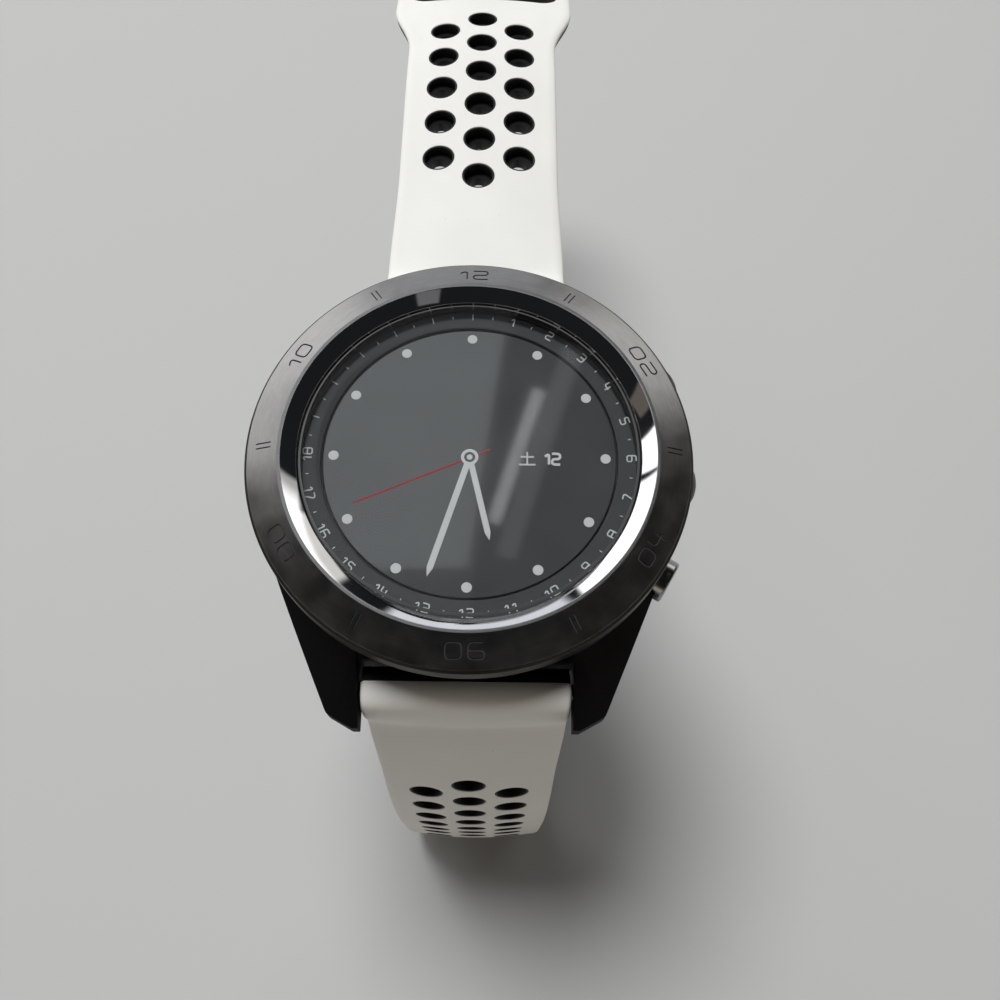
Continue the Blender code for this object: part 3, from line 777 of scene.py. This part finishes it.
def make_display_marks():
    """What the display shows: twelve dots, three hands, and the date."""
    low, high = 0.0, 0.05
    marks = []
    for hour in range(12):
        x, y = clockwise(30 * hour, DOT_RING_R)
        marks.append(moved(spot(0.54, low, high), Matrix.Translation((x, y, 0))))
    marks.append(prism(hand_outline(166.5, 0.8, 9.6, 0.62, 0.9), low, high))
    marks.append(prism(hand_outline(197.0, 0.8, 13.9, 0.66, 1.0), low, high + 0.01))
    marks.append(annulus(0.6, 0.92, low, high + 0.02))
    marks.append(spot(0.3, low, high + 0.02, 24))
    date_place = lambda x, y: (8.75 + x, DATE_Y + y)
    for _, closed, points in text_strokes("12", 0.86, 1.25, 0.28, 0.3):
        marks.append(ribbon(points, closed, 0.27, date_place, level(low), level(high)))
    day_place = lambda x, y: (6.1 + x, DATE_Y + y)
    day = [
        [(-0.7, 0.22), (0.7, 0.22)],
        [(-0.88, -0.68), (0.88, -0.68)],
        [(0.0, -0.6), (0.0, 0.78)],
    ]
    for points in day:
        marks.append(ribbon(points, False, 0.17, day_place, level(low), level(high)))
    piece("display_marks", joined(*marks), "head", [LIT])
    second = [
        prism(hand_outline(246.0, 0.92, 13.3, 0.2, 0.5), low, high + 0.005),
        prism(hand_outline(66.0, 0.92, 2.45, 0.2, 0.2), low, high + 0.005),
    ]
    piece("second_hand", joined(*second), "head", [LIT_RED])


# ---------------------------------------------------------------- case and buttons

CASE_R = 23.2
CASE_BORE = 19.2
LUG_TIP_X = 14.6
LUG_TIP_Y = 27.1
PIN_SEAT_R = 0.95

# Each button's clockwise angle and how far its cap reaches from the head's axis.
BUTTONS = {"top": (63.0, 25.3), "middle": (92.5, 24.7), "bottom": (120.0, 24.6)}
BUTTON_R = 2.3
BUTTON_FOOT = 22.2
BUTTON_Z = -4.4
STRAP_GAP = 22.3
RECESS_Y = 20.35
FLUTES = 26
FLUTE_DEPTH = 0.2


def button_matrix(angle, distance):
    """A place on a button's axis, with Z pointing out of the case."""
    outward = Vector((*clockwise(angle, 1.0), 0.0))
    matrix = outward.to_track_quat("Z", "Y").to_matrix().to_4x4()
    matrix.translation = outward * distance + Vector((0, 0, BUTTON_Z))
    return matrix


def rods(radius, depth, places, steps=48):
    """Cylinders, each about a matrix whose Z is its axis."""
    return joined(*[moved(spot(radius, -depth / 2, depth / 2, steps), place) for place in places])


def case_outline():
    """Round case with a tapered lug at each corner. The lug's flank is tangent to the round."""
    tip = Vector((LUG_TIP_X, LUG_TIP_Y - 1.5))
    tangent = math.degrees(tip.angle(Vector((1, 0))) - math.acos(CASE_R / tip.length))
    quarter = arc(CASE_R, 0.0, tangent, 18)
    end = [quarter[-1], tuple(tip), (LUG_TIP_X - 2.7, LUG_TIP_Y), (STRAP_GAP / 2 - 1.0, LUG_TIP_Y)]
    quarter += rounded(end, [0, 0.9, 0.5, 0], 4, False)[1:]
    outline = quarter + [(-x, y) for x, y in reversed(quarter[1:])]
    outline += [(-x, -y) for x, y in quarter]
    outline += [(x, -y) for x, y in reversed(quarter[1:])]
    return outline


def make_case():
    mesh = prism(case_outline(), CASE_BOTTOM, CASE_TOP)
    angles = [angle for angle, _ in BUTTONS.values()]
    cutters = []
    for side in (-1, 1):
        cutters.append(block((STRAP_GAP, 12, 30), (0, side * (RECESS_Y + 6), 0)))
    # The lugs fall away from the round case towards their tips.
    lug_tops = [(40, 5), (40, -10), (30, -9), (CASE_R + 0.1, -3), (CASE_R + 0.1, 5)]
    cutters.append(turned(lug_tops))
    cavity = [(0, 5), (CASE_BORE, 5), (CASE_BORE, -9.1), (16.0, -9.1)]
    cavity += [(16.0, -10.0), (CASE_BORE, -10.0), (CASE_BORE, -15), (0, -15)]
    cutters.append(turned(cavity, 144))
    mesh = combined(mesh, *cutters)
    mesh = bevelled(mesh, 0.22, 3)
    small = [
        rods(BUTTON_R + 0.3, 6.0, [button_matrix(angle, 24.6) for angle in angles]),
        rods(0.85, 6.0, [button_matrix(angle, 20.6) for angle in angles], 24),
        rods(1.5, 4.0, [button_matrix(angle, 18.6) for angle in angles], 32),
    ]
    across = Matrix.Rotation(math.radians(90), 4, "Y")
    seats = [Matrix.Translation((0, side * PIN_Y, PIN_Z)) @ across for side in (-1, 1)]
    small.append(rods(PIN_SEAT_R, 25.6, seats, 32))
    holes = [Matrix.Translation((x, y, -9.9)) for x, y in arc(18.0, 45, 315, 3)]
    small.append(rods(0.62, 1.3, holes, 16))
    mesh = combined(mesh, *small)
    piece("case_shell", mesh, "head", [CASE], replaces=["case_body"], sharp=28)


def flute(cap, rim):
    """Flutes round a cap's side, outside the rim."""
    for vertex in cap.vertices:
        radius = math.hypot(vertex.co.x, vertex.co.y)
        if radius > rim:
            around = math.atan2(vertex.co.y, vertex.co.x)
            factor = 1 - FLUTE_DEPTH / radius * (0.5 - 0.5 * math.cos(FLUTES * around))
            vertex.co.x *= factor
            vertex.co.y *= factor


def make_buttons():
    """A knurled upper button, a plain domed middle one and a bright flat lower one."""
    grip = BUTTON_R
    crowns = {
        "top": [(0, 0), (grip - 0.75, 0), (grip - 0.3, -0.2), (grip, -0.45)],
        "middle": [(0, 0), (0.75, -0.04), (1.45, -0.22), (2.0, -0.55), (grip, -0.95)],
        "bottom": [
            (0, -0.14),
            (1.3, -0.14),
            (1.42, -0.02),
            (grip - 0.3, 0),
            (grip - 0.06, -0.1),
            (grip, -0.32),
        ],
    }
    for name, crown in crowns.items():
        angle, reach_out = BUTTONS[name]
        profile = [(r, reach_out + z) for r, z in crown]
        profile += [(grip, BUTTON_FOOT), (0.85, BUTTON_FOOT), (0.85, 23.5), (0, 23.5)]
        cap = turned(rounded(profile, 0.08, 3, closed=False), 156)
        if name == "top":
            flute(cap, grip - 0.35)
        place = HEAD @ button_matrix(angle, 0.0)
        bright = name == "bottom"
        finish = BUTTON_STEEL if bright else BUTTON_BLACK
        piece(
            f"button_{name}_face", cap, f"button_{name}", [finish], place,
            replaces=[f"button_{name}_cap"], sharp=40,
        )


# ---------------------------------------------------------------- straps

# Half widths, levels across the thickness, and the knuckle that wraps the pin.
STRAP_HALF = 10.45
LUG_HALF = 10.9
BUCKLE_HALF = 13.2
SKIN_TOP = 1.5
SKIN_LOW = -0.1
LINER_LOW = -1.5
KNUCKLE_R = 2.5
KNUCKLE_BORE = 1.85
HOOK_TUBE_R = 1.66
ROLL_LENGTH = 5.5
CREASE_SOFT = 0.12
CROWN = 1.0
# Adjusting holes, the tuck slot and the closure stud's hole.
HOLE_R = 2.13
LINER_HOLE_R = 1.1
PITCH = 6.5
COLUMN = 5.2
SLOT_MIDDLE = 63.5
SLOT_END_R = 3.0
STUD_AT = 73.0
STUD_HOLE_R = 1.45
UPPER_HEADING = math.radians(-4.1)
# The path of the long strap: straight, a wide sweep, a hanging stretch and the curl to the floor.
LOWER_HEADING = math.radians(17.0)
LOWER_SWEEP = 150.0
LOWER_CURL = 9.5
LOWER_STRAIGHT = 8.0
LOWER_HANG = (
    DIAL_Z / MM + PIN_Z
    - LOWER_STRAIGHT * math.cos(LOWER_HEADING)
    - LOWER_SWEEP * math.sin(LOWER_HEADING)
    - LOWER_CURL
    - SKIN_TOP
)

# Each strap's hinge frame, its path as (length, bend radius) runs, and its outline and holes.
STRAPS = {
    "upper": {
        "hinge": Matrix.Translation((0, PIN_Y, PIN_Z)) @ Matrix.Rotation(UPPER_HEADING, 4, "X"),
        "runs": [(35, 0.0), (21.8, 78.0), (60, 0.0)],
        "length": 80.0,
        "corner": 8.5,
        "flare": True,
        "rows": 6,
        "first_hole": 21.2,
    },
    "lower": {
        "hinge": Matrix.Translation((0, -PIN_Y, PIN_Z))
        @ Matrix.Rotation(math.pi, 4, "Z")
        @ Matrix.Rotation(LOWER_HEADING - math.pi / 2, 4, "X"),
        "runs": [
            (LOWER_STRAIGHT, 0.0),
            (LOWER_SWEEP * LOWER_HEADING, LOWER_SWEEP),
            (LOWER_HANG, 0.0),
            (LOWER_CURL * math.pi / 2, LOWER_CURL),
            (80, 0.0),
        ],
        "length": 125.0,
        "corner": 9.0,
        "flare": False,
        "rows": 15,
        "first_hole": 22.4,
    },
}


def path_point(runs, distance):
    """Where the strap's middle line is at a distance from the pin, and its heading there.

    Each run is (length, radius): radius 0 is straight, and any other bends towards the wrist.
    """
    y, z, heading = 0.0, 0.0, 0.0
    if distance < 0:
        return distance, 0.0, 0.0
    for length, radius in runs:
        part = min(length, distance)
        if radius:
            turn = part / radius
            y += radius * (math.sin(heading + turn) - math.sin(heading))
            z += radius * (math.cos(heading + turn) - math.cos(heading))
            heading += turn
        else:
            y += part * math.cos(heading)
            z -= part * math.sin(heading)
        distance -= part
        if distance <= 0:
            break
    return y, z, heading


def bent(mesh, strap):
    """A flat strap piece laid along the strap's path, in the hinge's frame."""
    for vertex in mesh.vertices:
        x, along, out = vertex.co
        y, z, heading = path_point(strap["runs"], along)
        vertex.co = (x, y + out * math.sin(heading), z + out * math.cos(heading))
    return mesh


def half_width(strap, distance):
    """Half the strap's width: it narrows after the lug, may flare at the buckle, and has a round tip."""
    width = LUG_HALF + (STRAP_HALF - LUG_HALF) * smooth((distance - 6) / 16)
    if strap["flare"]:
        width += (BUCKLE_HALF - STRAP_HALF) * smooth((distance - 47) / 12)
    left = strap["length"] - distance
    corner = strap["corner"]
    if left < corner:
        width += math.sqrt(max(0.0, corner**2 - (corner - left) ** 2)) - corner
    return width


def skin_top(along):
    """The outer face rolls over the pin and meets the strap in a soft crease."""
    roll = SKIN_TOP + (KNUCKLE_R - SKIN_TOP) * (1 - (along / ROLL_LENGTH) ** 2)
    return (roll + SKIN_TOP + math.hypot(roll - SKIN_TOP, CREASE_SOFT)) / 2


def crown_drop(x, width, along):
    """How far the crowned outer face has fallen at a distance from the strap's middle line."""
    return CROWN * (x / width) ** 2 * smooth(along / 8)


def skin_section(width, top, along):
    """A crowned outer face whose edges fall away in a soft curve, down to a straight flank."""
    grown = smooth(along / 8)
    edge_wide = 0.5 + 1.1 * grown
    edge_fall = 0.5 + 0.1 * grown
    inner = width - edge_wide
    side = []
    for i in range(9):
        x = inner * i / 8
        side.append((x, top - crown_drop(x, width, along)))
    shoulder = side[-1][1]
    for i in range(1, 8):
        turn = math.radians(90 * i / 7)
        side.append((inner + edge_wide * math.sin(turn), shoulder - edge_fall * (1 - math.cos(turn))))
    return side + [(width, SKIN_LOW + 0.08), (width - 0.08, SKIN_LOW), (0.0, SKIN_LOW)]


def liner_section(width, top, along):
    """The liner's flat top and round lower edges. They are the same all along the strap."""
    side = [(0.0, -0.12), (width - 0.12, -0.12)]
    for i in range(7):
        turn = math.radians(90 * i / 6)
        side.append((width - 1.15 + 1.0 * math.cos(turn), LINER_LOW + 1.0 - 1.0 * math.sin(turn)))
    side.append((0.0, LINER_LOW))
    return side


def stations(strap, start):
    """Distances along the strap with a section: close together at the knuckle and at the round tip."""
    marks = [0.25 * i for i in range(12)] + [3 + 0.4 * i for i in range(13)]
    end = strap["length"]
    corner = strap["corner"]
    room = end - corner - 8.4
    count = int(room / 0.8)
    marks += [8.4 + room * i / count for i in range(count + 1)]
    marks += [end - corner * (1 - math.sin(math.radians(90 * i / 24))) for i in range(1, 24)]
    return [start] + [mark for mark in marks if mark > start + 0.1]


def slab(strap, section, start, end_round):
    """The flat strap as one closed body. Its last section closes on a rounded end."""
    shape = bmesh.new()
    rings = []
    for along in stations(strap, start):
        width = max(half_width(strap, along), 2.2)
        left = strap["length"] - along
        side = section(width, skin_top(along), along)
        if left < end_round:
            fall = end_round * (1 - math.sqrt(max(0.0, 1 - (1 - left / end_round) ** 2)))
            side = [(x, min(z, side[0][1] - fall)) if z > 0 else (x, z) for x, z in side]
        whole = side + [(-x, z) for x, z in reversed(side[1:-1])]
        rings.append([shape.verts.new((x, along, z)) for x, z in whole])
    count = len(rings[0])
    for near, far in zip(rings, rings[1:]):
        for i in range(count):
            j = (i + 1) % count
            shape.faces.new((near[i], near[j], far[j], far[i]))
    shape.faces.new(rings[0])
    shape.faces.new(list(reversed(rings[-1])))
    return as_mesh(shape)


def hole_centres(strap):
    """Three staggered columns of adjusting holes, as (across, along)."""
    places = []
    for row in range(strap["rows"]):
        along = strap["first_hole"] + row * PITCH
        places.append((0.0, along))
        if row < strap["rows"] - 1:
            places += [(side * COLUMN, along + PITCH / 2) for side in (-1, 1)]
    return places


def hole_matrix(strap, x, along):
    """A hole's place on the crowned outer face, square to it."""
    width = half_width(strap, along)
    tilt = math.atan(2 * CROWN * x / width**2)
    drop = crown_drop(x, width, along)
    return Matrix.Translation((x, along, -drop)) @ Matrix.Rotation(tilt, 4, "Y")


def flared_hole(radius, top, low, flare, steps=32):
    """A cutter for a hole whose rim is rounded at the outer face."""
    profile = [(0, top + 1), (radius + flare, top + 1)]
    profile += [
        (radius + flare * (1 - math.cos(math.radians(a))), top - flare * (1 - math.sin(math.radians(a))))
        for a in (90, 67, 45, 22, 0)
    ]
    profile += [(radius, low), (0, low)]
    return turned(profile, steps)


def make_strap(name, strap):
    hinge = HEAD @ strap["hinge"]
    body = f"{name}_strap"
    across = Matrix.Rotation(math.radians(90), 4, "Y")
    skin = slab(strap, skin_section, 0.0, 1.1)
    ends = [(0, LUG_HALF), (KNUCKLE_R, LUG_HALF), (KNUCKLE_R, -LUG_HALF), (0, -LUG_HALF)]
    knuckle = moved(turned(rounded(ends, [0, 0.5, 0.5, 0], 4, False), 64), across)
    skin = combined(skin, knuckle, operation="UNION")
    bore = moved(spot(KNUCKLE_BORE, -20, 20, 48), across)
    mouth = block((40, 13, 8), (0, 4.75, SKIN_LOW - 4))
    lip = block((40, 13, 8), (0, -5, -3.7))
    skin = combined(skin, bore, mouth, lip)
    centres = hole_centres(strap)
    hole_places = [hole_matrix(strap, *centre) for centre in centres]
    skin_cutters = [moved(flared_hole(HOLE_R, SKIN_TOP, -3, 0.12), place) for place in hole_places]
    liner = slab(strap, liner_section, 11.0, 0.0)
    liner_cutters = [moved(spot(LINER_HOLE_R, -4, 3, 32), Matrix.Translation((*c, 0))) for c in centres]
    if strap["flare"]:
        slot_side = 8.3
        outline = [(x + slot_side, y) for x, y in arc(SLOT_END_R, -90, 90, 16)]
        outline += [(x - slot_side, y) for x, y in arc(SLOT_END_R, 90, 270, 16)]
        for cutters in (skin_cutters, liner_cutters):
            cutters.append(moved(prism(outline, -5, 5), Matrix.Translation((0, SLOT_MIDDLE, 0))))
            stud_hole = spot(STUD_HOLE_R, -4, 4, 32)
            cutters.append(moved(stud_hole, Matrix.Translation((0, STUD_AT, 0))))
    skin = combined(skin, joined(*skin_cutters))
    liner = combined(liner, joined(*liner_cutters))
    collar = [(2.11, 1.44), (2.11, -0.6), (1.88, -0.6), (1.88, 1.44)]
    collars = [moved(turned(rounded(collar, [0.08, 0, 0, 0.1]), 32), place) for place in hole_places]
    liner = joined(liner, *collars)
    skin = bent(skin, strap)
    liner = bent(liner, strap)
    piece(f"{name}_skin", skin, body, [WHITE], hinge, [f"{name}_strap_skin"])
    piece(f"{name}_liner", liner, body, [BLACK], hinge, [f"{name}_strap_liner"])
    make_hook_back(name, body, hinge, across)


def make_hook_back(name, body, hinge, across):
    """The hook's rounded back, between the skin's edge and the hook's mouth."""
    back = moved(spot(KNUCKLE_R - 0.08, -LUG_HALF + 0.1, LUG_HALF - 0.1, 64), across)
    inside = moved(spot(HOOK_TUBE_R, -20, 20, 48), across)
    outer_side = block((40, 13, 8), (0, 0, 4.2))
    mouth_side = block((40, 8, 13), (0, 3.0, 0))
    back = combined(back, inside, outer_side, mouth_side)
    piece(f"{name}_hook_back", back, body, [PLASTIC], hinge)


# ---------------------------------------------------------------- the watch

finish_cad_nodes()
make_bezel()
make_lens()
make_dial_ring()
make_dial_print()
make_display_marks()
make_case()
make_buttons()
for strap_name, strap_facts in STRAPS.items():
    make_strap(strap_name, strap_facts)

# ---------------------------------------------------------------- camera, light and floor


def make_camera():
    """The photo's view: from over 6 o'clock, close, with the dial turned slightly."""
    data = bpy.data.cameras.new("camera")
    data.sensor_width = 36.0
    data.lens = 36.36
    data.clip_start = 0.005
    camera = bpy.data.objects.new("camera", data)
    camera.location = Vector((2.72, -44.66, 97.38)) * MM + Vector((0, 0, DIAL_Z))
    camera.rotation_euler = (math.radians(22.23), math.radians(-0.57), math.radians(0.61))
    bpy.context.scene.collection.objects.link(camera)
    bpy.context.scene.camera = camera


def make_floor():
    """A plain round floor, in metres."""
    mesh = prism(arc(3.0, 0, 356.25, 95), -0.02, 0.0)
    obj = bpy.data.objects.new("floor", mesh)
    plain = surface("floor_plain", (0.55, 0.555, 0.55), 0.8, tint=0.01, patch=3.0, grain=40.0, bump=0.0)
    mesh.materials.append(plain)
    bpy.context.scene.collection.objects.link(obj)


def facing(azimuth, elevation):
    """A direction: azimuth in degrees from +Y towards +X, and elevation above the horizon."""
    a, e = math.radians(azimuth), math.radians(elevation)
    return Vector((math.sin(a) * math.cos(e), math.cos(a) * math.cos(e), math.sin(e)))


def softbox(tree, direction, centre, size, colour, strength, soft, roll):
    """A soft-edged rectangle of light on the sky. Its size is (width, height) in degrees."""
    right = centre.cross(Vector((0, 0, 1))).normalized()
    up = right.cross(centre).normalized()
    turn = Matrix.Rotation(math.radians(roll), 3, centre)
    right, up = turn @ right, turn @ up

    ahead = vector_maths(tree, "DOT_PRODUCT", direction, centre)
    mask = maths(tree, "GREATER_THAN", ahead, 0.05)
    safe = maths(tree, "MAXIMUM", ahead, 0.05)
    for axis, extent in ((right, size[0]), (up, size[1])):
        aside = vector_maths(tree, "DOT_PRODUCT", direction, axis)
        offset = maths(tree, "ABSOLUTE", maths(tree, "DIVIDE", aside, safe))
        half = math.tan(math.radians(extent / 2))
        edge = ranged(tree, offset, 0.0, 1.0, half + soft / 2, half - soft / 2, "SMOOTHSTEP")
        mask = maths(tree, "MULTIPLY", mask, edge)
    return vector_maths(tree, "SCALE", Vector(colour) * strength, Scale=mask)


DIM_ROOM = (0.013, 0.014, 0.015)


def make_sky():
    """A dim room with windows behind the watch and soft panels over it. The camera sees it plain."""
    world = bpy.data.worlds.new("studio")
    bpy.context.scene.world = world
    world.use_nodes = True
    tree = world.node_tree
    tree.nodes.clear()
    direction = new_node(tree, "ShaderNodeTexCoord").outputs["Generated"]
    cool, warm, white = (0.93, 0.96, 1.0), (1.0, 0.86, 0.71), (1.0, 1.0, 1.0)
    pale = (1.0, 0.98, 0.93)
    boxes = [
        # centre, size, colour, strength, softness, roll
        (facing(-62.5, 23), (11, 26), white, 1.9, 0.02, 0),
        (facing(-38, 13), (32, 26), white, 1.9, 0.03, 0),
        (facing(-4, 7), (30, 22), cool, 0.95, 0.05, 0),
        (facing(32, 14), (20, 22), pale, 0.88, 0.04, 0),
        (facing(47, 24), (11, 22), pale, 0.55, 0.04, 0),
        (facing(158, 49), (8, 10), white, 0.16, 0.02, 0),
        (facing(-80, 31), (8, 14), warm, 0.14, 0.03, 0),
        (facing(-31.6, 52.3), (40, 46), cool, 0.85, 0.02, -33),
        (facing(30, 22), (34, 18), white, 1.1, 0.12, 0),
        (facing(10.5, 64.5), (1.7, 20), white, 2.6, 0.02, -6),
        (facing(120, 5), (100, 34), warm, 0.5, 0.3, 0),
        (facing(-120, 5), (100, 34), warm, 0.5, 0.3, 0),
        (facing(180, 2), (90, 30), warm, 0.3, 0.3, 0),
    ]
    total = DIM_ROOM
    for box in boxes:
        total = vector_maths(tree, "ADD", softbox(tree, direction, *box), total)
    room = new_node(tree, "ShaderNodeBackground", total)
    plain = new_node(tree, "ShaderNodeBackground", Color=(0.78, 0.79, 0.79, 1.0))
    seen = new_node(tree, "ShaderNodeLightPath").outputs["Is Camera Ray"]
    chosen = new_node(tree, "ShaderNodeMixShader", seen, room.outputs[0], plain.outputs[0])
    new_node(tree, "ShaderNodeOutputWorld", chosen.outputs[0])


def area_light(name, place, target, size, power, colour=(1, 1, 1)):
    """A soft panel that lights the surfaces but isn't mirrored in them."""
    data = bpy.data.lights.new(name, "AREA")
    data.shape = "DISK"
    data.size = size
    data.energy = power
    data.color = colour
    light = bpy.data.objects.new(name, data)
    light.location = place
    light.rotation_euler = (Vector(target) - Vector(place)).to_track_quat("-Z", "Y").to_euler()
    light.visible_glossy = False
    light.visible_camera = False
    bpy.context.scene.collection.objects.link(light)


make_camera()
make_floor()
make_sky()
area_light("key", (-0.16, 0.32, 1.0), (0, 0.02, 0.07), 0.4, 8.4, (0.99, 1.0, 0.985))
bpy.context.scene.view_settings.view_transform = "Standard"
